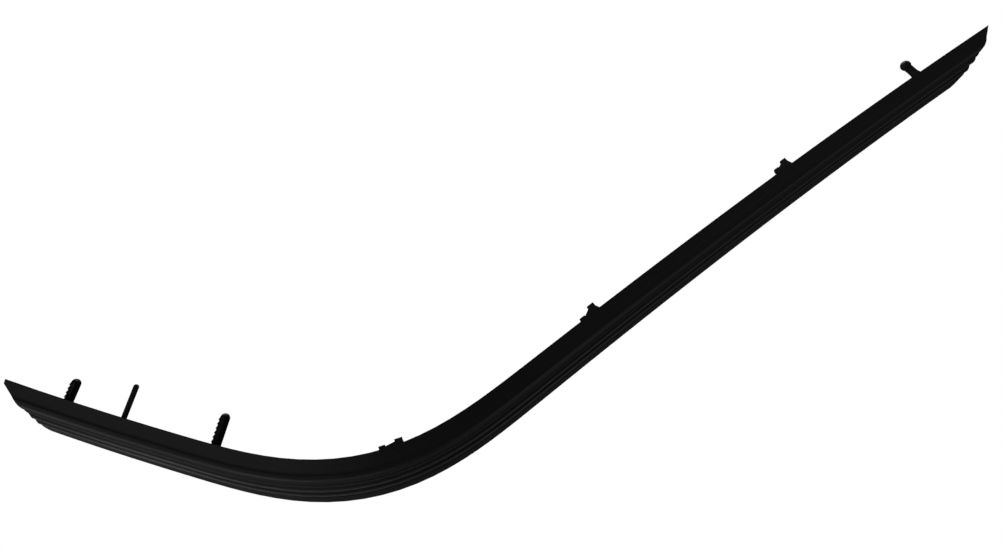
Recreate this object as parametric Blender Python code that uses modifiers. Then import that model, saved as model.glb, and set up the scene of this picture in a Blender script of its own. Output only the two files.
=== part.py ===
"""Bumper impact strip: a moulded corner strip with a hollow ribbed back, its clips and its push-in studs.

The strip stands on its lower edge. A station is a distance along its upper rear edge, from the tip of the
short leg. In a section, out is the distance towards the front from the rear edges, and up is the height.
"""
import math

import bmesh
import bpy
from mathutils import Matrix, Vector

# Path of the upper rear edge, seen from above
SHORT_LEG = 0.1244
BEND_LENGTH = 0.3079
LONG_LEG = 0.6177
SHORT_LEG_SWEEP = math.radians(2.5)
BEND_ANGLE = math.radians(57.0)
LONG_LEG_SWEEP = math.radians(-3.5)
FIRST_HEADING = math.radians(-43.88)
LEG_STEP = 0.036
BEND_STEP = 0.0125

# Outer face of the section, from the top down
CREASE_OUT = 0.0098
CREASE_DROP = 0.0046
CREASE_EASE = 0.0024
EASE_STEPS = 3
ROLL_OUT = 0.0133
ROLL_RADIUS = 0.0050
ROLL_START = 62.0
ROLL_STEPS = 5
FACE_HEIGHT = 0.0129
FACE_RADIUS = 0.0440
FACE_STEPS = 3
LINE_WIDTH = 0.0012
LINE_OUT = 0.0117
LAND_OUT = 0.0127
LAND_HEIGHT = 0.0037
GROOVE_OUT = 0.0116
GROOVE_FLAT = 0.0008
BEAD_PITCH = 0.0090
BEAD_RADIUS = 0.0027
UPPER_BEAD_OUT = 0.0143
LOWER_BEAD_OUT = 0.0147
BEAD_ANGLES = (84.0, -70.0)
BEAD_STEPS = 8
VALLEY_OUT = 0.0117
VALLEY_FLAT = 0.0014
BAND_OUT = 0.0140
BAND_HEIGHT = 0.0136
BAND_EDGE = 0.0012
FOOT_OUT = 0.0120
FOOT_RISE = 0.0060
FOOT_STEPS = 5
HEIGHT = CREASE_DROP + FACE_HEIGHT + LINE_WIDTH + LAND_HEIGHT + 2 * BEAD_PITCH + BAND_HEIGHT

# Hollow back
WALL = 0.0026
THIN_WALL = 0.0020
END_WALL = 0.0026
END_BLOCK = 0.2
RIB = 0.0016
RIB_PITCH = 0.0475
BACK_CLEARANCE = 0.004

# Oblique ends: each cut is (start, skew, slope), and a point of the end stands back from the tip by
# start + skew * its distance out + slope * its drop below the top
SHORT_END_CUTS = ((-0.0049, 1.63, 0.0), (-0.0414, 1.63, 0.81))
LONG_END_CUTS = ((0.0, 1.45, 0.05), (-0.0083, 1.45, 0.42), (-0.0574, 1.45, 1.60))

# Fasteners stand at one depth below the top: studs as (station, reach), clips as (station, low, tall)
STRIP_LENGTH = SHORT_LEG + BEND_LENGTH + LONG_LEG
FASTENER_DROP = 0.0200
STUD_TILT = math.radians(20.0)
CLIP_TILT = math.radians(10.0)
STUD_TIP_SHARE = 0.3392
STUD_BEND_SHARE = 0.1358
CLIP_BEND_SHARE = 0.5703
CLIP_MIDDLE_SHARE = 0.0967
CLIP_LONG_SHARE = 0.4991
BALL_PIN_SHARE = 0.8361
SLIM_PIN_SHARE = 0.7219
STUDS = {
    "stud_tip": (SHORT_LEG * STUD_TIP_SHARE, 0.0218),
    "stud_bend": (SHORT_LEG + BEND_LENGTH * STUD_BEND_SHARE, 0.0288),
}
CLIPS = {
    "clip_bend": (SHORT_LEG + BEND_LENGTH * CLIP_BEND_SHARE, 0.0105, 0.0120),
    "clip_middle": (SHORT_LEG + BEND_LENGTH + LONG_LEG * CLIP_MIDDLE_SHARE, 0.0092, 0.0136),
    "clip_long": (SHORT_LEG + BEND_LENGTH + LONG_LEG * CLIP_LONG_SHARE, 0.0118, 0.0152),
}

# Slim pin of the short leg and round-headed pin of the long one, each on a tapered boss
SLIM_PIN_STATION = SHORT_LEG * SLIM_PIN_SHARE
SLIM_PIN_REACH = 0.0310
SLIM_PIN_RADIUS = 0.0021
SLIM_PIN_TIP_RADIUS = 0.0014
SLIM_PIN_POINT = 0.0016
SLIM_PIN_SIDES = 16
SLIM_BOSS_RADIUS = 0.0044
BALL_PIN_STATION = SHORT_LEG + BEND_LENGTH + LONG_LEG * BALL_PIN_SHARE
BALL_CENTRE_REACH = 0.0216
BALL_RADIUS = 0.0053
BALL_PIN_RADIUS = 0.0041
BALL_PIN_FLARE = 0.0064
BALL_BOSS_RADIUS = 0.0078
BALL_PIN_SIDES = 20
BALL_STEPS = 7
BOSS_DEPTH = 0.0106

# Slotted seat of a stud
SEAT_WIDTH = 0.0200
SEAT_HEIGHT = 0.0160
SEAT_DEPTH = 0.0094
SEAT_SKIN = 0.0022
SEAT_RIM = 0.0006
CLEARANCE = 0.0003

# Stud: head, neck and collar, then a shank with fins on one side and a flat on the other
STUD_HEAD_RADIUS = 0.0060
STUD_HEAD_THICKNESS = 0.0022
STUD_NECK_RADIUS = 0.0030
STUD_COLLAR_RADIUS = 0.0066
STUD_COLLAR_THICKNESS = 0.0012
STUD_COLLAR_EDGE = 0.0004
STUD_GRIP = 0.0026
STUD_CORE_RADIUS = 0.0034
STUD_FIN_RADIUS = 0.0043
STUD_FIN_PITCH = 0.0034
STUD_FIN_RAMP = 0.0024
STUD_FIN_LEDGE = 0.0004
STUD_POINT = 0.0028
STUD_NOSE_RADIUS = 0.0017
STUD_CHEEK_RADIUS = 0.0031
STUD_FLAT = 0.0032
STUD_SIDES = 18

# Snap clip: a low and a tall barbed finger on a shared root, with a web over the window between them
CLIP_ROOT_WIDTH = 0.0260
CLIP_ROOT_HEIGHT = 0.0130
CLIP_ROOT_DEPTH = 0.0104
LOW_FINGER_PLACE = -0.0066
LOW_FINGER_WIDTH = 0.0050
TALL_FINGER_PLACE = 0.0062
TALL_FINGER_WIDTH = 0.0060
FINGER_THICKNESS = 0.0030
FINGER_BARB = 0.0014
FINGER_BARB_LENGTH = 0.0040
FINGER_BARB_LEDGE = 0.0006
FINGER_TIP_TAPER = 0.0004
FINGER_ROOT = 0.0050
WEB_THICKNESS = 0.0020
WEB_OVERLAP = 0.0010
WEB_DEPTH = 0.0030
WEB_DROP = 0.0014
GUSSET_WIDTH = 0.0030
GUSSET_SHARE = 0.3333

BLACK_PLASTIC = ("black_plastic", (0.018, 0.018, 0.019, 1.0), 0.55)
STUD_PLASTIC = ("stud_plastic", (0.008, 0.008, 0.008, 1.0), 0.45)


def clear_scene():
    for item in list(bpy.data.objects):
        bpy.data.objects.remove(item, do_unlink=True)


def new_collection(name):
    group = bpy.data.collections.new(name)
    bpy.context.scene.collection.children.link(group)
    return group


def material(name, colour, roughness):
    made = bpy.data.materials.new(name)
    made.use_nodes = True
    shader = made.node_tree.nodes["Principled BSDF"]
    shader.inputs["Base Color"].default_value = colour
    shader.inputs["Roughness"].default_value = roughness
    shader.inputs["Metallic"].default_value = 0.0
    return made


# Path

def ease(share):
    """0 to 1 with no sudden start or stop: the bend's curvature rises and falls smoothly."""
    share = min(max(share, 0.0), 1.0)
    return share - math.sin(2 * math.pi * share) / (2 * math.pi)


def heading(station):
    """Direction of the path at a station, in radians from +X."""
    bend_end = SHORT_LEG + BEND_LENGTH
    direction = FIRST_HEADING + SHORT_LEG_SWEEP * min(station / SHORT_LEG, 1.0)
    direction += BEND_ANGLE * ease((station - SHORT_LEG) / BEND_LENGTH)
    return direction + LONG_LEG_SWEEP * max(station - bend_end, 0.0) / LONG_LEG


def path_table(steps=2100):
    """Points of the path at even stations, found by adding up short straight moves."""
    step = STRIP_LENGTH / steps
    point = Vector((0.0, 0.0, 0.0))
    table = [point.copy()]
    for index in range(steps):
        middle = heading((index + 0.5) * step)
        point += Vector((math.cos(middle), math.sin(middle), 0.0)) * step
        table.append(point.copy())
    return table


PATH = path_table()


def point_at(station):
    place = station / STRIP_LENGTH * (len(PATH) - 1)
    index = min(max(int(place), 0), len(PATH) - 2)
    return PATH[index].lerp(PATH[index + 1], place - index)


def along(station):
    return Vector((math.cos(heading(station)), math.sin(heading(station)), 0.0))


def outward(station):
    return Vector((math.sin(heading(station)), -math.cos(heading(station)), 0.0))


def evenly(first, last, step):
    """Stations from first to last, evenly spaced and no further apart than step; last is left out."""
    count = max(math.ceil((last - first) / step - 1e-6), 1)
    return [first + (last - first) * index / count for index in range(count)]


def strip_stations():
    """Stations of the whole strip: close together in the bend, wide apart on the legs."""
    bend_end = SHORT_LEG + BEND_LENGTH
    marks = evenly(0.0, SHORT_LEG, LEG_STEP) + evenly(SHORT_LEG, bend_end, BEND_STEP)
    return marks + evenly(bend_end, STRIP_LENGTH, LEG_STEP) + [STRIP_LENGTH]


def bay_stations(first, last):
    """Stations of one hollow bay, which fall between the strip's own."""
    bent = first < SHORT_LEG + BEND_LENGTH and last > SHORT_LEG
    return evenly(first, last, BEND_STEP if bent else LEG_STEP) + [last]


# Section

def arc(out, up, radius, first, last, steps):
    """Points of an arc in the section; angles in degrees, 0 outward and 90 up."""
    turns = [math.radians(first + (last - first) * index / steps) for index in range(steps + 1)]
    return [(out + radius * math.cos(turn), up + radius * math.sin(turn)) for turn in turns]


def bead(out, up):
    return arc(out - BEAD_RADIUS, up, BEAD_RADIUS, *BEAD_ANGLES, BEAD_STEPS)


def flat(out, up, width):
    return [(out, up + width / 2), (out, up - width / 2)]


def top_slope():
    """Fall of the top band, which levels off over its last part and meets the crease flat."""
    return CREASE_DROP / (CREASE_OUT - CREASE_EASE / 2)


def top_band():
    """The top band from the rear edge to the crease."""
    points = [(0.0, HEIGHT)]
    for index in range(EASE_STEPS):
        eased = CREASE_EASE * index / EASE_STEPS
        straight = CREASE_OUT - CREASE_EASE + eased
        points.append((straight, HEIGHT - top_slope() * (straight - eased ** 2 / (2 * CREASE_EASE))))
    return points + [(CREASE_OUT, HEIGHT - CREASE_DROP)]


def rolled_face():
    """A tight roll below the crease, then a face that curves gently under."""
    roll_up = HEIGHT - CREASE_DROP - ROLL_RADIUS * math.sin(math.radians(ROLL_START))
    face_foot = HEIGHT - CREASE_DROP - FACE_HEIGHT
    under = math.degrees(math.asin((roll_up - face_foot) / FACE_RADIUS))
    roll = arc(ROLL_OUT - ROLL_RADIUS, roll_up, ROLL_RADIUS, ROLL_START, 0.0, ROLL_STEPS)
    return roll + arc(ROLL_OUT - FACE_RADIUS, roll_up, FACE_RADIUS, 0.0, -under, FACE_STEPS)[1:]


def outer_section():
    """Closed outline of the whole section, the hollow filled in."""
    land_top = HEIGHT - CREASE_DROP - FACE_HEIGHT - LINE_WIDTH
    land_foot = land_top - LAND_HEIGHT
    upper_bead_up = land_foot - BEAD_PITCH / 2
    band_top = BAND_HEIGHT - BAND_EDGE
    outline = top_band() + rolled_face()
    outline += [(LINE_OUT, land_top + LINE_WIDTH / 2), (LAND_OUT, land_top), (LAND_OUT, land_foot)]
    outline += flat(GROOVE_OUT, land_foot - GROOVE_FLAT, GROOVE_FLAT)
    outline += bead(UPPER_BEAD_OUT, upper_bead_up)
    outline += flat(VALLEY_OUT, upper_bead_up - BEAD_PITCH / 2, VALLEY_FLAT)
    outline += bead(LOWER_BEAD_OUT, upper_bead_up - BEAD_PITCH)
    outline += [(VALLEY_OUT, BAND_HEIGHT + BAND_EDGE / 2), (BAND_OUT - BAND_EDGE / 3, band_top)]
    for across, down in arc(0.0, 0.0, 1.0, 0.0, 90.0, FOOT_STEPS):
        outline.append((FOOT_OUT + (BAND_OUT - FOOT_OUT) * across, FOOT_RISE * (1 - down)))
    return outline + [(0.0, 0.0)]


def hollow_section():
    """Closed outline of the hollow, which runs out through the open back."""
    slope = top_slope()
    top_wall = WALL * math.hypot(1.0, slope)
    top_out = CREASE_OUT - WALL / 2
    face_in = VALLEY_OUT - THIN_WALL
    band_in = BAND_OUT - WALL
    return [(-BACK_CLEARANCE, HEIGHT - top_wall + BACK_CLEARANCE * slope),
            (top_out, HEIGHT - top_wall - top_out * slope),
            (face_in, HEIGHT - CREASE_DROP - WALL * 1.5),
            (face_in, BAND_HEIGHT + BEAD_PITCH / 2), (band_in, BAND_HEIGHT - BAND_EDGE - WALL),
            (band_in, FOOT_RISE), (FOOT_OUT - WALL / 2, WALL), (-BACK_CLEARANCE, WALL)]


# Modelling tools

def link(name, mesh, group):
    item = bpy.data.objects.new(name, mesh)
    group.objects.link(item)
    return item


def hide(item):
    item.hide_render = True
    item.display_type = "WIRE"
    return item


def closed_mesh(item, name):
    """The evaluated curve as a mesh whose caps are welded on and whose faces point out."""
    graph = bpy.context.evaluated_depsgraph_get()
    graph.update()
    mesh = bpy.data.meshes.new_from_object(item.evaluated_get(graph))
    mesh.name = name
    shape = bmesh.new()
    shape.from_mesh(mesh)
    bmesh.ops.remove_doubles(shape, verts=shape.verts, dist=0.00001)
    bmesh.ops.recalc_face_normals(shape, faces=shape.faces)
    shape.to_mesh(mesh)
    shape.free()
    return mesh


def sweep(name, outline, marks, group):
    """The outline carried along the path through the stations in marks."""
    profile = bpy.data.curves.new(name + "_profile", "CURVE")
    profile.dimensions = "2D"
    spline = profile.splines.new("POLY")
    spline.points.add(len(outline) - 1)
    for point, (out, up) in zip(spline.points, outline):
        point.co = (out, up, 0.0, 1.0)
    spline.use_cyclic_u = True
    profile_item = bpy.data.objects.new(name + "_profile", profile)
    rail = bpy.data.curves.new(name + "_rail", "CURVE")
    rail.dimensions = "3D"
    rail.twist_mode = "Z_UP"
    rail.bevel_mode = "OBJECT"
    rail.bevel_object = profile_item
    rail.use_fill_caps = True
    spline = rail.splines.new("POLY")
    spline.points.add(len(marks) - 1)
    for point, mark in zip(spline.points, marks):
        point.co = (*point_at(mark), 1.0)
    rail_item = bpy.data.objects.new(name + "_rail", rail)
    group.objects.link(profile_item)
    group.objects.link(rail_item)
    mesh = closed_mesh(rail_item, name)
    bpy.data.objects.remove(rail_item)
    bpy.data.objects.remove(profile_item)
    return link(name, mesh, group)


def box(name, size, matrix, group):
    """A box of a size, its centre and axes given by a matrix."""
    mesh = bpy.data.meshes.new(name)
    shape = bmesh.new()
    bmesh.ops.create_cube(shape, size=1.0, matrix=matrix @ Matrix.Diagonal((*size, 1.0)))
    shape.to_mesh(mesh)
    shape.free()
    return link(name, mesh, group)


def prism(name, corners, move, matrix, group):
    """A flat outline of corners, drawn out by a move."""
    mesh = bpy.data.meshes.new(name)
    shape = bmesh.new()
    face = shape.faces.new([shape.verts.new(corner) for corner in corners])
    solid = bmesh.ops.extrude_face_region(shape, geom=[face])["geom"]
    moved = [part for part in solid if isinstance(part, bmesh.types.BMVert)]
    bmesh.ops.translate(shape, verts=moved, vec=move)
    bmesh.ops.recalc_face_normals(shape, faces=shape.faces)
    shape.to_mesh(mesh)
    shape.free()
    item = link(name, mesh, group)
    item.matrix_world = matrix
    return item


def turned(name, profile, matrix, sides, group):
    """A profile of (radius, length) pairs, from its far end down, turned about its own Z axis."""
    mesh = bpy.data.meshes.new(name)
    shape = bmesh.new()
    points = [shape.verts.new((radius, 0.0, length)) for radius, length in profile]
    for first, second in zip(points, points[1:]):
        shape.edges.new((first, second))
    shape.to_mesh(mesh)
    shape.free()
    item = link(name, mesh, group)
    item.matrix_world = matrix
    screw = item.modifiers.new("turn", "SCREW")
    screw.steps = sides
    screw.render_steps = sides
    screw.use_merge_vertices = True
    screw.merge_threshold = 0.00002
    return item


def boolean(item, name, operation, group):
    change = item.modifiers.new(name, "BOOLEAN")
    change.operation = operation
    change.operand_type = "COLLECTION"
    change.collection = group
    change.solver = "EXACT"


# Ends and hollow back

def end_blocks(name, station, side, cuts, setback, group):
    """Blocks that take off an end obliquely: side is -1 at the first station and 1 at the last."""
    down = Vector((0.0, 0.0, -1.0))
    tip = point_at(station) - down * HEIGHT
    for index, (start, skew, slope) in enumerate(cuts):
        normal = (along(station) * side + outward(station) * skew + down * slope).normalized()
        across = normal.cross(down).normalized()
        matrix = Matrix((normal, across, normal.cross(across))).transposed().to_4x4()
        middle = tip - along(station) * side * (start + slope * HEIGHT / 2) + down * HEIGHT / 2
        matrix.translation = middle + normal * (END_BLOCK / 2 - setback)
        hide(box(f"{name}_{index + 1}", (END_BLOCK, END_BLOCK, END_BLOCK), matrix, group))


def end_reach(cuts):
    """More than the distance that an oblique end takes up along the strip."""
    reaches = [start + skew * LOWER_BEAD_OUT + slope * HEIGHT for start, skew, slope in cuts]
    return max(reaches) + 2 * END_WALL


def bays():
    """First and last station of each hollow bay, between two ribs or a rib and an end wall."""
    count = round(STRIP_LENGTH / RIB_PITCH)
    pitch = STRIP_LENGTH / count
    edges = []
    for index in range(count):
        first = END_WALL if index == 0 else index * pitch + RIB / 2
        last = STRIP_LENGTH - END_WALL if index == count - 1 else (index + 1) * pitch - RIB / 2
        edges.append((first, last))
    return edges


def hollow_cutters(group, ends):
    for index, (first, last) in enumerate(bays()):
        item = hide(sweep(f"bay_{index + 1}", hollow_section(), bay_stations(first, last), group))
        if first < end_reach(SHORT_END_CUTS) or last > STRIP_LENGTH - end_reach(LONG_END_CUTS):
            boolean(item, "end_wall", "DIFFERENCE", ends)


# Fasteners

def seat_frame(station, tilt):
    """Axes of a fastener: X along the strip, Z the way it points, and its origin on the rear plane."""
    side = along(station)
    points = Matrix.Rotation(tilt, 4, side) @ -outward(station)
    frame = Matrix((side, points.cross(side), points)).transposed().to_4x4()
    frame.translation = point_at(station) + Vector((0.0, 0.0, HEIGHT - FASTENER_DROP))
    return frame


def stud_seat(name, station, additions, slots):
    """A block with a slot that holds a stud's head; the slot runs out through the side away from the tip."""
    frame = seat_frame(station, STUD_TILT)
    block = frame @ Matrix.Translation((0.0, 0.0, (SEAT_RIM - SEAT_DEPTH) / 2))
    hide(box(name + "_seat", (SEAT_WIDTH, SEAT_HEIGHT, SEAT_RIM + SEAT_DEPTH), block, additions))
    run = SEAT_WIDTH
    collar = STUD_COLLAR_RADIUS + CLEARANCE
    collar_depth = STUD_COLLAR_THICKNESS + 2 * CLEARANCE
    recess = frame @ Matrix.Translation((run / 2 - collar, 0.0, collar_depth / 2))
    hide(box(name + "_collar_slot", (run, 2 * collar, collar_depth), recess, slots))
    neck = STUD_NECK_RADIUS + CLEARANCE
    head = STUD_HEAD_RADIUS + CLEARANCE
    head_depth = STUD_HEAD_THICKNESS + 2 * CLEARANCE
    slot = frame @ Matrix.Translation((run / 2 - neck, 0.0, -SEAT_SKIN / 2))
    hide(box(name + "_neck_slot", (run, 2 * neck, SEAT_SKIN * 2), slot, slots))
    pocket = frame @ Matrix.Translation((run / 2 - head, 0.0, -SEAT_SKIN - head_depth / 2))
    hide(box(name + "_head_slot", (run, 2 * head, head_depth), pocket, slots))


def finger(name, place, width, reach, frame, additions):
    """A clip finger: a flat tongue with a ramped barb at its end."""
    half = FINGER_THICKNESS / 2
    barb_foot = reach - FINGER_BARB_LENGTH
    outline = [(-half, -FINGER_ROOT), (half, -FINGER_ROOT), (half, barb_foot)]
    outline += [(half + FINGER_BARB, barb_foot + FINGER_BARB_LEDGE)]
    outline += [(half - FINGER_TIP_TAPER, reach), (-half + FINGER_TIP_TAPER, reach)]
    corners = [(place - width / 2, across, length) for across, length in outline]
    hide(prism(name, corners, (width, 0.0, 0.0), frame, additions))


def web(name, outline, frame, additions):
    """A plate in the plane of the clip's fingers."""
    corners = [(place, -WEB_THICKNESS / 2, length) for place, length in outline]
    hide(prism(name, corners, (0.0, WEB_THICKNESS, 0.0), frame, additions))


def clip(name, station, low, tall, additions):
    frame = seat_frame(station, CLIP_TILT)
    root = frame @ Matrix.Translation((0.0, 0.0, -CLIP_ROOT_DEPTH / 2))
    hide(box(name + "_root", (CLIP_ROOT_WIDTH, CLIP_ROOT_HEIGHT, CLIP_ROOT_DEPTH), root, additions))
    finger(name + "_low", LOW_FINGER_PLACE, LOW_FINGER_WIDTH, low, frame, additions)
    finger(name + "_tall", TALL_FINGER_PLACE, TALL_FINGER_WIDTH, tall, frame, additions)
    first = LOW_FINGER_PLACE + LOW_FINGER_WIDTH / 2 - WEB_OVERLAP
    last = TALL_FINGER_PLACE - TALL_FINGER_WIDTH / 2 + WEB_OVERLAP
    low_top = low - WEB_DROP
    tall_top = tall - WEB_DROP
    bridge = [(first, low_top - WEB_DEPTH), (last, low_top - WEB_DEPTH), (last, tall_top), (first, low_top)]
    web(name + "_bridge", bridge, frame, additions)
    side = TALL_FINGER_PLACE + TALL_FINGER_WIDTH / 2
    gusset = [(side - WEB_OVERLAP, -FINGER_ROOT), (side + GUSSET_WIDTH, -FINGER_ROOT)]
    gusset += [(side + GUSSET_WIDTH, tall * GUSSET_SHARE), (side - WEB_OVERLAP, tall_top)]
    web(name + "_gusset", gusset, frame, additions)


def slim_pin(additions):
    profile = [(0.0, SLIM_PIN_REACH), (SLIM_PIN_TIP_RADIUS, SLIM_PIN_REACH - SLIM_PIN_POINT / 4)]
    profile += [(SLIM_PIN_RADIUS, SLIM_PIN_REACH - SLIM_PIN_POINT), (SLIM_PIN_RADIUS, 0.0)]
    profile += [(SLIM_BOSS_RADIUS, 0.0), (SLIM_BOSS_RADIUS, -BOSS_DEPTH), (0.0, -BOSS_DEPTH)]
    hide(turned("slim_pin", profile, seat_frame(SLIM_PIN_STATION, STUD_TILT), SLIM_PIN_SIDES, additions))


def ball_pin(additions):
    """The neck meets the head where both have the neck's radius, and flares towards its boss."""
    last_turn = math.degrees(math.acos(BALL_PIN_RADIUS / BALL_RADIUS))
    head = arc(0.0, BALL_CENTRE_REACH, BALL_RADIUS, 90.0, -last_turn, BALL_STEPS)
    profile = [(0.0, BALL_CENTRE_REACH + BALL_RADIUS)] + head[1:]
    profile += [(BALL_PIN_RADIUS, BALL_CENTRE_REACH / 2), (BALL_PIN_FLARE, 0.0), (BALL_BOSS_RADIUS, 0.0)]
    profile += [(BALL_BOSS_RADIUS, -BOSS_DEPTH), (0.0, -BOSS_DEPTH)]
    hide(turned("ball_pin", profile, seat_frame(BALL_PIN_STATION, CLIP_TILT), BALL_PIN_SIDES, additions))


def impact_strip(parts, look):
    ends = new_collection("end_cutters")
    walls = new_collection("end_wall_cutters")
    hollows = new_collection("hollow_cutters")
    additions = new_collection("additions")
    slots = new_collection("slot_cutters")
    for name, setback, group in (("end", 0.0, ends), ("end_wall", END_WALL, walls)):
        end_blocks("short_" + name, 0.0, -1, SHORT_END_CUTS, setback, group)
        end_blocks("long_" + name, STRIP_LENGTH, 1, LONG_END_CUTS, setback, group)
    hollow_cutters(hollows, walls)
    for name, (station, reach) in STUDS.items():
        stud_seat(name, station, additions, slots)
    for name, (station, low, tall) in CLIPS.items():
        clip(name, station, low, tall, additions)
    slim_pin(additions)
    ball_pin(additions)
    strip = sweep("impact_strip", outer_section(), strip_stations(), parts)
    strip.data.materials.append(look)
    boolean(strip, "hollow_back", "DIFFERENCE", hollows)
    boolean(strip, "seats_and_clips", "UNION", additions)
    boolean(strip, "slots", "DIFFERENCE", slots)
    boolean(strip, "oblique_ends", "DIFFERENCE", ends)


def stud_profile(reach):
    """Outline of a stud from its tip down to the head that sits in the slot."""
    collar_top = CLEARANCE + STUD_COLLAR_THICKNESS
    head_top = -SEAT_SKIN - CLEARANCE
    shank_top = reach - STUD_POINT
    profile = [(0.0, reach), (STUD_NOSE_RADIUS, reach - STUD_POINT / 6)]
    profile += [(STUD_CHEEK_RADIUS, reach - STUD_POINT / 2)]
    fins = int((shank_top - collar_top - STUD_GRIP) / STUD_FIN_PITCH)
    for index in range(fins):
        top = shank_top - index * STUD_FIN_PITCH
        profile += [(STUD_CORE_RADIUS, top), (STUD_FIN_RADIUS, top - STUD_FIN_RAMP)]
        profile += [(STUD_CORE_RADIUS, top - STUD_FIN_RAMP - STUD_FIN_LEDGE)]
    profile += [(STUD_CORE_RADIUS, collar_top), (STUD_COLLAR_RADIUS - STUD_COLLAR_EDGE, collar_top)]
    profile += [(STUD_COLLAR_RADIUS, collar_top - STUD_COLLAR_EDGE)]
    profile += [(STUD_COLLAR_RADIUS, CLEARANCE), (STUD_NECK_RADIUS, CLEARANCE)]
    profile += [(STUD_NECK_RADIUS, head_top), (STUD_HEAD_RADIUS, head_top)]
    profile += [(STUD_HEAD_RADIUS, head_top - STUD_HEAD_THICKNESS)]
    return profile + [(0.0, head_top - STUD_HEAD_THICKNESS)]


def stud(name, station, reach, parts, flats, look):
    """A push-in stud, whose shank is cut flat on the side away from the strip's tip."""
    frame = seat_frame(station, STUD_TILT)
    item = turned(name, stud_profile(reach), frame, STUD_SIDES, parts)
    item.data.materials.append(look)
    first = CLEARANCE + STUD_COLLAR_THICKNESS + STUD_COLLAR_EDGE
    length = reach - first + STUD_POINT
    width = STUD_FIN_RADIUS * 3
    middle = frame @ Matrix.Translation((STUD_FLAT + width / 2, 0.0, first + length / 2))
    hide(box(name + "_flat", (width, width, length), middle, flats))
    boolean(item, "flat", "DIFFERENCE", flats)


def set_on_floor(parts):
    """Moves everything so that the part's box is centred on the origin and stands on the floor."""
    graph = bpy.context.evaluated_depsgraph_get()
    graph.update()
    corners = []
    for item in parts.objects:
        shown = item.evaluated_get(graph)
        corners += [shown.matrix_world @ vertex.co for vertex in shown.data.vertices]
    low = Vector([min(corner[axis] for corner in corners) for axis in range(3)])
    high = Vector([max(corner[axis] for corner in corners) for axis in range(3)])
    shift = Matrix.Translation((-(low.x + high.x) / 2, -(low.y + high.y) / 2, -low.z))
    for item in bpy.data.objects:
        item.matrix_world = shift @ item.matrix_world


def main():
    clear_scene()
    parts = new_collection("bumper_impact_strip")
    flats = new_collection("stud_flat_cutters")
    impact_strip(parts, material(*BLACK_PLASTIC))
    stud_look = material(*STUD_PLASTIC)
    for name, (station, reach) in STUDS.items():
        stud(name, station, reach, parts, flats, stud_look)
    set_on_floor(parts)


main()
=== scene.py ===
"""Looks of the bumper impact strip: its moulded plastic, its studs, the floor, the light and the camera.

A station is a distance along the strip's upper rear edge from the tip of the short leg, in metres. Out is the
distance from the plane of the rear edges towards the front, and up is the height above the floor.
"""
import math

import bpy
import numpy as np
from mathutils import Matrix, Vector


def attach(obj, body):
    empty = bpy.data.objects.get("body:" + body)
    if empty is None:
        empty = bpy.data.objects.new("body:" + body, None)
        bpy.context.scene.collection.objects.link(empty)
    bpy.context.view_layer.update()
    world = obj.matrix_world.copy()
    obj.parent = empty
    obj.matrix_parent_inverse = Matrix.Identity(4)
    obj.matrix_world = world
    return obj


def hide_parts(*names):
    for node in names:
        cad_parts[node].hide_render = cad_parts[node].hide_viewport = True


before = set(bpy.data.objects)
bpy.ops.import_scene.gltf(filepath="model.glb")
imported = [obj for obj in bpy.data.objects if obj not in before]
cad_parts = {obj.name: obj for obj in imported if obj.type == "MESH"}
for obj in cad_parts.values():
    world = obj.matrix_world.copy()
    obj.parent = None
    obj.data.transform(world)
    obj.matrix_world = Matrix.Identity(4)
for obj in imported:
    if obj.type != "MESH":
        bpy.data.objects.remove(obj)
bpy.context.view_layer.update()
scene = bpy.context.scene

# Path of the upper rear edge
SHORT_LEG = 0.1244
BEND_LENGTH = 0.3079
LONG_LEG = 0.6177
STRIP_LENGTH = SHORT_LEG + BEND_LENGTH + LONG_LEG
SHORT_LEG_SWEEP = math.radians(2.5)
BEND_ANGLE = math.radians(57.0)
LONG_LEG_SWEEP = math.radians(-3.5)
FIRST_HEADING = math.radians(-43.88)
PATH_START = (-0.483884, 0.090588)
PATH_STEPS = 2100
SEARCH_STRIDE = 4


def headings(stations):
    """Directions of the path, in radians from +X."""
    share = np.clip((stations - SHORT_LEG) / BEND_LENGTH, 0, 1)
    turn = FIRST_HEADING + SHORT_LEG_SWEEP * np.clip(stations / SHORT_LEG, 0, 1)
    turn += BEND_ANGLE * (share - np.sin(2 * math.pi * share) / (2 * math.pi))
    return turn + LONG_LEG_SWEEP * np.clip((stations - SHORT_LEG - BEND_LENGTH) / LONG_LEG, 0, 1)


def path_table():
    """Stations of the path, and the place of each."""
    step = STRIP_LENGTH / PATH_STEPS
    turn = headings((np.arange(PATH_STEPS) + 0.5) * step)
    moves = np.stack([np.cos(turn), np.sin(turn)], axis=1) * step
    places = np.concatenate([[[0.0, 0.0]], np.cumsum(moves, axis=0)])
    return np.arange(PATH_STEPS + 1) * step, places + np.array(PATH_START)


path_stations, path_places = path_table()


def strip_places(points):
    """(station, out, up) of each point, by the nearest place of the path."""
    gaps = points[:, None, :2] - path_places[None, ::SEARCH_STRIDE, :]
    near = np.argmin((gaps ** 2).sum(axis=2), axis=1) * SEARCH_STRIDE
    turn = headings(path_stations[near])
    gap = points[:, :2] - path_places[near]
    ahead = gap[:, 0] * np.cos(turn) + gap[:, 1] * np.sin(turn)
    out = gap[:, 0] * np.sin(turn) - gap[:, 1] * np.cos(turn)
    return np.stack([path_stations[near] + ahead, out, points[:, 2]], axis=1)


# Material nodes
NODE_SPACING = 200.0


def node(tree, kind, **values):
    """A new node, to the right of those made before it."""
    made = tree.nodes.new(kind)
    made.location.x = NODE_SPACING * len(tree.nodes)
    for name, value in values.items():
        setattr(made, name, value)
    return made


def feed(tree, socket, value):
    """Gives a socket a fixed value or another node's output."""
    if isinstance(value, bpy.types.NodeSocket):
        tree.links.new(value, socket)
    else:
        socket.default_value = value


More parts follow.
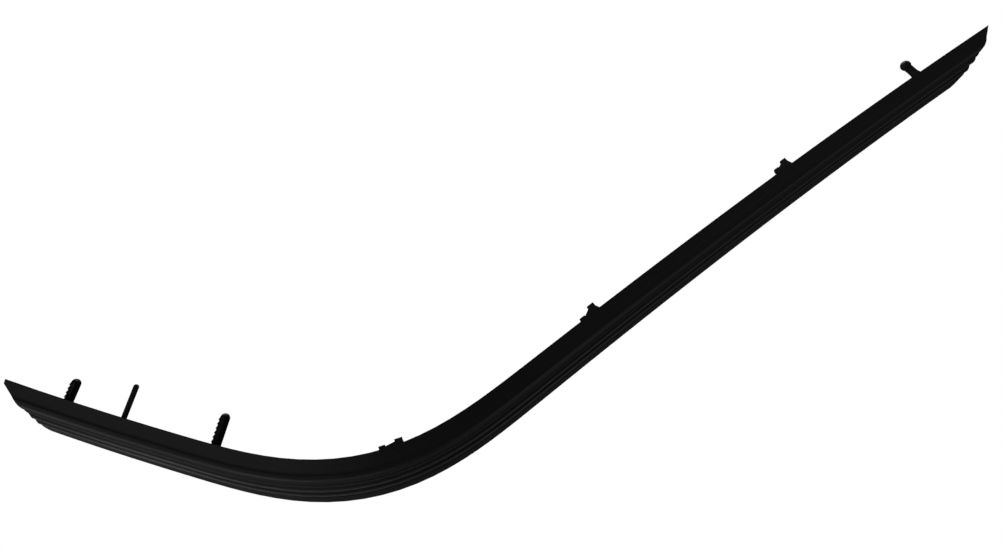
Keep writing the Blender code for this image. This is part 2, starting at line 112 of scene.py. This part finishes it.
def ramp(tree, value, low, high, first=0.0, last=1.0, easing="LINEAR"):
    """Maps low to high onto first to last."""
    made = node(tree, "ShaderNodeMapRange", interpolation_type=easing)
    feed(tree, made.inputs["Value"], value)
    feed(tree, made.inputs["From Min"], low)
    feed(tree, made.inputs["From Max"], high)
    feed(tree, made.inputs["To Min"], first)
    feed(tree, made.inputs["To Max"], last)
    return made.outputs["Result"]


def noise(tree, where, scale, detail, roughness):
    """Noise with one scale, or with one each along the strip, out and up."""
    if isinstance(scale, tuple):
        stretched = node(tree, "ShaderNodeVectorMath", operation="MULTIPLY")
        feed(tree, stretched.inputs[0], where)
        feed(tree, stretched.inputs[1], scale)
        where, scale = stretched.outputs[0], 1.0
    made = node(tree, "ShaderNodeTexNoise")
    feed(tree, made.inputs["Vector"], where)
    feed(tree, made.inputs["Scale"], scale)
    feed(tree, made.inputs["Detail"], detail)
    feed(tree, made.inputs["Roughness"], roughness)
    return made.outputs["Fac"]


def maths(tree, operation, *values):
    made = node(tree, "ShaderNodeMath", operation=operation)
    for socket, value in zip(made.inputs, values):
        feed(tree, socket, value)
    return made.outputs[0]


def blend(tree, first, second, share):
    """The first value, with a fixed share of the second in it."""
    rest = maths(tree, "MULTIPLY", first, 1.0 - share)
    return maths(tree, "ADD", rest, maths(tree, "MULTIPLY", second, share))


def mixed_colour(tree, factor, first, second):
    made = node(tree, "ShaderNodeMix", data_type="RGBA")
    feed(tree, made.inputs["Factor"], factor)
    feed(tree, made.inputs["A"], first)
    feed(tree, made.inputs["B"], second)
    return made.outputs["Result"]


def bell(tree, value, centre, reach):
    """One at the centre, falling smoothly to nothing at the reach."""
    away = maths(tree, "ABSOLUTE", maths(tree, "SUBTRACT", value, centre))
    return ramp(tree, away, 0.0, reach, 1.0, 0.0, easing="SMOOTHSTEP")


# Plastic. Noises have their scale in cells a metre, detail and roughness
CLOUD_NOISE = (22.0, 3.0, 0.5)
STREAK_NOISE = ((14.0, 900.0, 900.0), 2.0, 0.5)
SCUFF_NOISE = ((60.0, 700.0, 500.0), 4.0, 0.7)
GRAIN_NOISE = (1.0 / 0.0006, 3.0, 0.6)
STREAKS_IN_CLOUDS = 0.4
DARKEST = 0.86
LIGHTEST = 1.16
GLOSS_CLOUDS = (0.3, 0.7)

# Worn edges: the shading's rounding, how far its normal and the face's agree there, and where the scuffs lie
EDGE_RADIUS = 0.0004
EDGE_SAMPLES = 6
EDGE_AGREEMENT = (0.995, 0.80)
SCUFF_CLOUDS = (0.52, 0.72)

# Painted highlight lines on the face. Along the two bead crests they are partly wear and partly painted
# highlight, stronger at the corner where the light falls most. The third, on the land under the roll, and the
# faint fourth, on the long leg's roll, are painted highlight only. Columns: height, half width, strength, and
# what the corner and the long leg add to it
PAINTED_HIGHLIGHT_LINES = (
    (0.0189, 0.0021, 0.34, 0.72, 0.0),
    (0.0279, 0.0021, 0.34, 0.66, 0.0),
    (0.0336, 0.0030, 0.08, 0.24, -0.08),
    (0.0432, 0.0036, 0.0, 0.0, 0.11),
)
CORNER = 0.122
CORNER_REACH = 0.085
BEYOND_BEND = (0.33, 0.48)
OUTER_SIDE = (0.0119, 0.0126)
PAINTED_LINE_STREAKS = (0.35, 0.65, 0.75, 1.0)


def painted_lines_share(tree, place, streak):
    """How far the face is painted lighter: lines along the two bead crests, partly wear and partly painted
    highlight, painted highlight only on the land and the long leg's roll, stronger at the corner where the
    light falls most, and less between streaks.
    """
    parts = node(tree, "ShaderNodeSeparateXYZ")
    feed(tree, parts.inputs[0], place)
    station, out, up = parts.outputs
    corner = bell(tree, station, CORNER, CORNER_REACH)
    beyond = ramp(tree, station, *BEYOND_BEND)
    total = 0.0
    for height, reach, strength, corner_strength, long_strength in PAINTED_HIGHLIGHT_LINES:
        strength = maths(tree, "MULTIPLY_ADD", corner, corner_strength, strength)
        strength = maths(tree, "MULTIPLY_ADD", beyond, long_strength, strength)
        total = maths(tree, "MULTIPLY_ADD", bell(tree, up, height, reach), strength, total)
    # Only the face's outer side gets the painted highlight lines
    painted_lines = maths(tree, "MULTIPLY", total, ramp(tree, out, *OUTER_SIDE))
    return maths(tree, "MULTIPLY", painted_lines, ramp(tree, streak, *PAINTED_LINE_STREAKS))


def plastic(name, *, colour, wear_and_highlight_colour, edge_wear, polish, roughness, spread, specular, grain_depth, streaks, painted_lines):
    """Moulded plastic: fine grain, flow streaks along the strip, cloudy gloss, lighter, smoother worn edges,
    and, where asked, painted highlight lines on the face.
    """
    made = bpy.data.materials.new(name)
    made.use_nodes = True
    tree = made.node_tree
    shader = tree.nodes["Principled BSDF"]
    place = node(tree, "ShaderNodeAttribute", attribute_name="strip_place").outputs["Vector"]
    where = node(tree, "ShaderNodeTexCoord").outputs["Object"]
    streak = noise(tree, place, *STREAK_NOISE)
    clouds = blend(tree, noise(tree, where, *CLOUD_NOISE), streak, STREAKS_IN_CLOUDS)

    rounded = node(tree, "ShaderNodeBevel", samples=EDGE_SAMPLES)
    feed(tree, rounded.inputs["Radius"], EDGE_RADIUS)
    agreement = node(tree, "ShaderNodeVectorMath", operation="DOT_PRODUCT")
    feed(tree, agreement.inputs[0], rounded.outputs["Normal"])
    feed(tree, agreement.inputs[1], node(tree, "ShaderNodeNewGeometry").outputs["Normal"])
    edge = ramp(tree, agreement.outputs["Value"], *EDGE_AGREEMENT, 0.0, edge_wear)
    wear_and_painted_lines = maths(tree, "MULTIPLY", edge, ramp(tree, noise(tree, place, *SCUFF_NOISE), *SCUFF_CLOUDS))
    # Painted highlight lines along the face join the worn edges: both take the paler colour and the lower
    # roughness
    if painted_lines:
        wear_and_painted_lines = maths(tree, "MAXIMUM", wear_and_painted_lines, painted_lines_share(tree, place, streak))

    darkest = (*[channel * DARKEST for channel in colour], 1.0)
    lightest = (*[channel * LIGHTEST for channel in colour], 1.0)
    tint = mixed_colour(tree, clouds, darkest, lightest)
    feed(tree, shader.inputs["Base Color"], mixed_colour(tree, wear_and_painted_lines, tint, (*wear_and_highlight_colour, 1.0)))

    gloss = ramp(tree, clouds, *GLOSS_CLOUDS, roughness - spread, roughness + spread)
    polished = maths(tree, "SUBTRACT", gloss, maths(tree, "MULTIPLY", wear_and_painted_lines, polish))
    feed(tree, shader.inputs["Roughness"], polished)
    feed(tree, shader.inputs["Specular IOR Level"], specular)
    feed(tree, shader.inputs["Metallic"], 0.0)

    bump = node(tree, "ShaderNodeBump")
    feed(tree, bump.inputs["Strength"], 1.0)
    feed(tree, bump.inputs["Distance"], grain_depth)
    feed(tree, bump.inputs["Height"], blend(tree, noise(tree, where, *GRAIN_NOISE), streak, streaks))
    feed(tree, bump.inputs["Normal"], rounded.outputs["Normal"])
    feed(tree, shader.inputs["Normal"], bump.outputs["Normal"])
    return made


# The strip's face gets painted highlight lines; its paler colour serves both worn edges and painted highlights
strip_look = plastic(
    "moulded_strip_black", colour=(0.0250, 0.0250, 0.0255), wear_and_highlight_colour=(0.225, 0.225, 0.229), edge_wear=0.34,
    polish=0.17, roughness=0.42, spread=0.04, specular=0.22, grain_depth=0.00005, streaks=0.35, painted_lines=True)
stud_look = plastic(
    "moulded_stud_black", colour=(0.0100, 0.0100, 0.0102), wear_and_highlight_colour=(0.035, 0.035, 0.035), edge_wear=1.0,
    polish=0.06, roughness=0.40, spread=0.05, specular=0.18, grain_depth=0.00002, streaks=0.1, painted_lines=False)

# Pieces: a point is shared by the corners that lie in one cell of the weld grid, given in cells a metre
WELD_GRID = 1e6
STRIP_SHARP = math.radians(30.0)
STUD_SHARP = math.radians(32.0)


def show(name, points, faces, sharp, look, cad_node):
    """Stands a mesh in for a solid. It shades smoothly up to the sharp angle and keeps its points' places."""
    mesh = bpy.data.meshes.new(name)
    mesh.from_pydata(points, [], faces)
    mesh.validate()
    mesh.shade_smooth()
    mesh.set_sharp_from_angle(angle=sharp)
    mesh.materials.append(look)
    mark = mesh.attributes.new("strip_place", "FLOAT_VECTOR", "POINT")
    mark.data.foreach_set("vector", strip_places(np.array(points)).astype(np.float32).ravel())
    piece = bpy.data.objects.new(name, mesh)
    scene.collection.objects.link(piece)
    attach(piece, "root")
    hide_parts(cad_node)
    return piece


def welded(cad_node):
    """Points and faces of a solid's mesh, with each point once."""
    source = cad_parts[cad_node].data
    points = np.empty(len(source.vertices) * 3)
    source.vertices.foreach_get("co", points)
    points = points.reshape(-1, 3)
    cells = np.round(points * WELD_GRID).astype(np.int64)
    _, first, again = np.unique(cells, axis=0, return_index=True, return_inverse=True)
    again = again.ravel()
    faces = []
    for face in source.polygons:
        corners = [int(again[index]) for index in face.vertices]
        if len(set(corners)) == len(corners):
            faces.append(corners)
    return points[first].tolist(), faces


def ring_faces(rings, sides):
    """Faces between neighbouring rings of points."""
    faces = []
    for ring in range(rings - 1):
        for index in range(sides):
            here = ring * sides + index
            beside = ring * sides + (index + 1) % sides
            faces.append([here, here + sides, beside + sides, beside])
    return faces


strip_skin = show("strip_skin", *welded("impact_strip"), STRIP_SHARP, strip_look, "impact_strip")

# Studs: station and reach. Head, neck and collar as the solids have them: radius and height from the rear plane
STUDS = {"stud_tip": (0.0421965, 0.0218), "stud_bend": (0.1662128, 0.0288)}
FASTENER_HEIGHT = 0.0340
STUD_TILT = math.radians(20.0)
STUD_SIDES = 60
HEAD_BASE = -0.0047
HEAD = ((0.0057, HEAD_BASE), (0.0060, -0.0044), (0.0060, -0.0028), (0.0057, -0.0025))
NECK = ((0.0030, -0.0025), (0.0030, 0.0003))
COLLAR_TOP = 0.0015
COLLAR = ((0.0063, 0.0003), (0.0066, 0.0006), (0.0066, 0.0011), (0.0062, COLLAR_TOP))

# Shank: a core with a round tip and a flat on one side, and fins on the other side from a grip above the collar
CORE_RADIUS = 0.0035
CORE_FLARE = 0.0004
FLAT = 0.0032
POINT = 0.0034
POINT_STEPS = 8
GRIP = 0.0010
FIN_RADIUS = 0.0042
FIN_PITCH = 0.0030
FIN_START = 0.0001
FIN_RAMP = 0.0023
FIN_SHOULDER = (0.7, 0.8)
FIN_LEDGE = 0.0003
FIN_SPREAD = (math.radians(62.0), math.radians(104.0))


def stud_outline(reach):
    """(core radius, fin height, height) of each ring, from the round tip down to the head."""
    shank_top = reach - POINT
    rows = []
    for index in range(1, POINT_STEPS + 1):
        turn = math.pi / 2 * index / POINT_STEPS
        rows.append((CORE_RADIUS * math.sin(turn), 0.0, shank_top + POINT * math.cos(turn)))
    fins = int((shank_top - COLLAR_TOP - GRIP) / FIN_PITCH)
    step = (shank_top - COLLAR_TOP - GRIP) / fins
    fin_height = FIN_RADIUS - CORE_RADIUS
    for index in range(fins):
        top = shank_top - index * step
        rows.append((CORE_RADIUS, 0.0, top - FIN_START))
        rows.append((CORE_RADIUS, FIN_SHOULDER[1] * fin_height, top - FIN_SHOULDER[0] * FIN_RAMP))
        rows.append((CORE_RADIUS, fin_height, top - FIN_RAMP))
        rows.append((CORE_RADIUS, 0.0, top - FIN_RAMP - FIN_LEDGE))
    rows.append((CORE_RADIUS, 0.0, COLLAR_TOP + CORE_FLARE))
    rows.append((CORE_RADIUS + CORE_FLARE, 0.0, COLLAR_TOP))
    return rows + [(radius, 0.0, height) for radius, height in reversed(HEAD + NECK + COLLAR)]


def stud_axes(station):
    """A stud's own axes from the rear plane: X along the strip, Z the way the stud points."""
    index = int(round(station / STRIP_LENGTH * PATH_STEPS))
    turn = float(headings(np.array([station]))[0])
    side = Vector((math.cos(turn), math.sin(turn), 0.0))
    points = Matrix.Rotation(STUD_TILT, 4, side) @ Vector((-math.sin(turn), math.cos(turn), 0.0))
    axes = Matrix((side, points.cross(side), points)).transposed().to_4x4()
    axes.translation = Vector((*path_places[index], FASTENER_HEIGHT))
    return axes


def fin_share(angle):
    """One over the middle of the fins, on the -X side, falling smoothly to nothing at their ends."""
    full, end = FIN_SPREAD
    share = min(max((end - abs(angle - math.pi)) / (end - full), 0.0), 1.0)
    return share * share * (3 - 2 * share)


def stud_shape(station, reach):
    """Points and faces of a stud."""
    axes = stud_axes(station)
    rows = stud_outline(reach)
    points = []
    for radius, fin, height in rows:
        for index in range(STUD_SIDES):
            angle = 2 * math.pi * index / STUD_SIDES
            wide = radius + fin * fin_share(angle)
            spot = Vector((wide * math.cos(angle), wide * math.sin(angle), height))
            if height > COLLAR_TOP:
                spot.x = min(spot.x, FLAT)
            points.append(axes @ spot)
    faces = ring_faces(len(rows), STUD_SIDES)
    tip = len(points)
    base = tip + 1
    last = tip - STUD_SIDES
    for index in range(STUD_SIDES):
        beside = (index + 1) % STUD_SIDES
        faces.append([tip, index, beside])
        faces.append([base, last + beside, last + index])
    points.append(axes @ Vector((0.0, 0.0, reach)))
    points.append(axes @ Vector((0.0, 0.0, HEAD_BASE)))
    return points, faces


for cad_node, (station, reach) in STUDS.items():
    piece = show(cad_node + "_skin", *stud_shape(station, reach), STUD_SHARP, stud_look, cad_node)

# Floor: flat under the strip, then rising at the rim, plain white to the camera and nothing to the light
FLOOR_DROP = 0.0003
FLOOR_SIDES = 96
FLOOR_RINGS = ((4.0, 0.0), (6.0, 0.25), (7.6, 1.0), (8.8, 2.4), (9.4, 4.4))
BLACK = (0.0, 0.0, 0.0, 1.0)
WHITE = (1.0, 1.0, 1.0, 1.0)
floor_points = []
for reach, height in FLOOR_RINGS:
    for index in range(FLOOR_SIDES):
        angle = 2 * math.pi * index / FLOOR_SIDES
        floor_points.append((reach * math.cos(angle), reach * math.sin(angle), height))
floor_faces = [list(range(FLOOR_SIDES))] + ring_faces(len(FLOOR_RINGS), FLOOR_SIDES)
floor_mesh = bpy.data.meshes.new("floor")
floor_mesh.from_pydata(floor_points, [], floor_faces)
floor = bpy.data.objects.new("floor", floor_mesh)
floor.location.z = -FLOOR_DROP
floor.visible_diffuse = False
floor.visible_glossy = False
floor.visible_shadow = False
scene.collection.objects.link(floor)
floor_look = bpy.data.materials.new("pale_floor")
floor_look.use_nodes = True
floor_shader = floor_look.node_tree.nodes["Principled BSDF"]
floor_shader.inputs["Base Color"].default_value = BLACK
floor_shader.inputs["Specular IOR Level"].default_value = 0.0
floor_shader.inputs["Emission Color"].default_value = WHITE
floor_shader.inputs["Emission Strength"].default_value = 1.0
floor_mesh.materials.append(floor_look)

# Light: a faint even sky, and soft panels aimed at the strip, most round the front and a wide one behind
SKY = 0.042
PANEL_DISTANCE = 2.2
SMALL_PANEL = (0.9, 0.9)
WIDE_PANEL = (2.4, 0.8)

# Direction from +X and height of each panel in degrees, its radiance and its size
PANELS = {
    "left_low": (180.0, -25.0, 0.52, SMALL_PANEL),
    "left": (180.0, 8.0, 0.29, SMALL_PANEL),
    "left_mid": (180.0, 28.0, 0.36, SMALL_PANEL),
    "left_high": (180.0, 50.0, 0.41, SMALL_PANEL),
    "front_left_low": (210.0, -25.0, 1.07, SMALL_PANEL),
    "front_left": (210.0, 8.0, 0.37, SMALL_PANEL),
    "front_left_high": (210.0, 50.0, 0.65, SMALL_PANEL),
    "front_low": (240.0, -25.0, 0.69, SMALL_PANEL),
    "front_right_low": (300.0, -25.0, 0.64, SMALL_PANEL),
    "right": (330.0, 28.0, 0.20, SMALL_PANEL),
    "right_high": (0.0, 50.0, 0.35, SMALL_PANEL),
    "rear": (78.0, 12.0, 5.0, WIDE_PANEL),
}


def turned(direction):
    """The rotation of a lamp or camera that faces a direction."""
    return direction.to_track_quat("-Z", "Y").to_euler()


world = bpy.data.worlds.new("studio")
world.use_nodes = True
world.node_tree.nodes["Background"].inputs["Color"].default_value = WHITE
world.node_tree.nodes["Background"].inputs["Strength"].default_value = SKY
scene.world = world
for name, (azimuth, elevation, radiance, (wide, tall)) in PANELS.items():
    lamp = bpy.data.lights.new(name, "AREA")
    lamp.shape = "RECTANGLE"
    lamp.size = wide
    lamp.size_y = tall
    lamp.energy = math.pi * wide * tall * radiance
    panel = bpy.data.objects.new(name, lamp)
    across = math.radians(azimuth)
    above = math.radians(elevation)
    way = Vector((math.cos(across) * math.cos(above), math.sin(across) * math.cos(above), math.sin(above)))
    panel.location = way * PANEL_DISTANCE
    panel.rotation_euler = turned(-way)
    panel.visible_camera = False
    scene.collection.objects.link(panel)

# Camera: fitted to the photograph's outline, with its focal length in pixels of the photograph's width
CAMERA_PLACE = (-0.25718, -0.29131, 0.5557)
LOOKS_DOWN = math.radians(55.747)
FACING = math.radians(25.06)
FOCAL_PIXELS = 750.0
PHOTO_WIDTH = 1002.0
SENSOR_WIDTH = 36.0
NEAREST = 0.01
lens = bpy.data.cameras.new("camera")
lens.sensor_width = SENSOR_WIDTH
lens.lens = FOCAL_PIXELS / PHOTO_WIDTH * SENSOR_WIDTH
lens.clip_start = NEAREST
camera = bpy.data.objects.new("camera", lens)
camera.location = CAMERA_PLACE
level = math.cos(LOOKS_DOWN)
looks = Vector((math.sin(FACING) * level, math.cos(FACING) * level, -math.sin(LOOKS_DOWN)))
camera.rotation_euler = turned(looks)
scene.collection.objects.link(camera)
scene.camera = camera
scene.view_settings.view_transform = "Standard"
